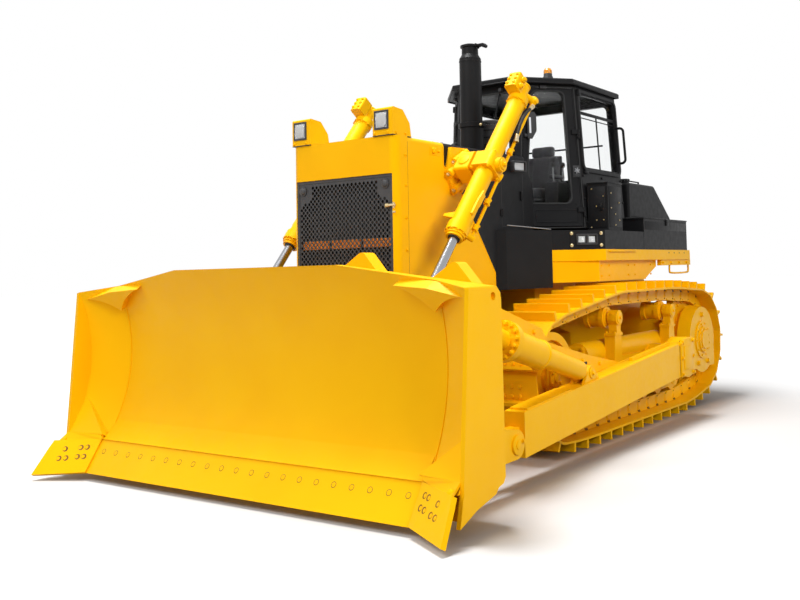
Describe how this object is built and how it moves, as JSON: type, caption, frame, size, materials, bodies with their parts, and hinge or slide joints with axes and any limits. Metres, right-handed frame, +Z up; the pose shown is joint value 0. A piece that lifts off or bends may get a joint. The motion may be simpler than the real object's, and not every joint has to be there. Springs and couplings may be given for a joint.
{
  "type": "crawler dozer",
  "caption": "Crawler dozer with a straight tilting blade on two push arms, twin lift cylinders, closed cab and single-grouser tracks.",
  "frame": {"origin": "on the ground under the middle of the machine", "axes": "+X to the operator's left, -Y the way the blade faces, +Z up"},
  "size_m": [4.1138, 6.8782, 3.74],
  "materials": {
    "yellow_paint": "semi-gloss enamel",
    "black_paint": "satin enamel",
    "track_steel": "painted cast and rolled steel",
    "chrome_rod": "ground and plated",
    "seat_cover": "woven cover over foam",
    "trim_plastic": "moulded",
    "amber_lens": "clear coloured",
    "window_glass": "toughened sheet",
    "engine_block": "as cast"
  },
  "bodies": {
    "root": {"main_frame": "yellow_paint", "engine": "engine_block", "radiator_guard": "yellow_paint", "grille": "black_paint", "hood": "black_paint", "hood_sides": "yellow_paint", "cowl": "black_paint", "headlamps": "yellow_paint", "exhaust_stack": "black_paint", "pre_cleaner": "trim_plastic", "deck": "black_paint", "fenders": "yellow_paint", "boxes": "black_paint", "fuel_tank": "black_paint", "cab_shell": "black_paint", "cab_roof": "black_paint", "seat": "seat_cover", "controls": "trim_plastic", "beacon": "amber_lens", "track_frames": "yellow_paint", "rollers": "yellow_paint", "idlers": "yellow_paint", "sprockets": "yellow_paint", "final_drives": "yellow_paint", "track_left": "track_steel", "track_right": "track_steel", "yoke_brackets": "yellow_paint", "cab_glass": "window_glass", "handrails": "black_paint"},
    "blade": {"moldboard": "yellow_paint", "cutting_edge": "yellow_paint", "end_bits": "yellow_paint", "push_arm_left": "yellow_paint", "push_arm_right": "yellow_paint", "tilt_cylinder": "yellow_paint", "brace_strut": "yellow_paint", "hose_guard": "yellow_paint"},
    "barrel_left": {"lift_barrel_left": "yellow_paint"},
    "rod_left": {"lift_rod_left": "chrome_rod"},
    "barrel_right": {"lift_barrel_right": "yellow_paint"},
    "rod_right": {"lift_rod_right": "chrome_rod"},
    "door_left": {"cab_door_left": "black_paint", "door_glass_left": "window_glass"},
    "door_right": {"cab_door_right": "black_paint", "door_glass_right": "window_glass"}
  },
  "joints": [
    {"name": "blade_lift", "type": "hinge", "parent": "root", "child": "blade", "pos_m": [0, 1.33, 0.64], "axis": [-1, 0, 0], "range_deg": [-6.5, 18]},
    {"name": "barrel_swing_left", "type": "hinge", "parent": "root", "child": "barrel_left", "pos_m": [0.915, -1.235, 2.46], "axis": [-1, 0, 0], "range_deg": [-10.25, 27.5]},
    {"name": "rod_slide_left", "type": "slide", "parent": "barrel_left", "child": "rod_left", "axis": [0, -0.6267, -0.7793], "range_m": [-0.9412, 0.3431]},
    {"name": "barrel_swing_right", "type": "hinge", "parent": "root", "child": "barrel_right", "pos_m": [-0.915, -1.235, 2.46], "axis": [-1, 0, 0], "range_deg": [-10.25, 27.5]},
    {"name": "rod_slide_right", "type": "slide", "parent": "barrel_right", "child": "rod_right", "axis": [0, -0.6267, -0.7793], "range_m": [-0.9412, 0.3431]},
    {"name": "door_swing_left", "type": "hinge", "parent": "root", "child": "door_left", "pos_m": [0.86003, 0.59096, 1.98591], "axis": [-0.0597, 0, 0.9982], "range_deg": [0, 100]},
    {"name": "door_swing_right", "type": "hinge", "parent": "root", "child": "door_right", "pos_m": [-0.86003, 0.59096, 1.98591], "axis": [0.0597, 0, 0.9982], "range_deg": [-100, 0]}
  ],
  "couplings": [
    {"joint": "barrel_swing_left", "follows": "blade_lift", "ratio": 1.5},
    {"joint": "rod_slide_left", "follows": "blade_lift", "m_per_rad": -2.98},
    {"joint": "barrel_swing_right", "follows": "blade_lift", "ratio": 1.5},
    {"joint": "rod_slide_right", "follows": "blade_lift", "m_per_rad": -2.98}
  ]
}
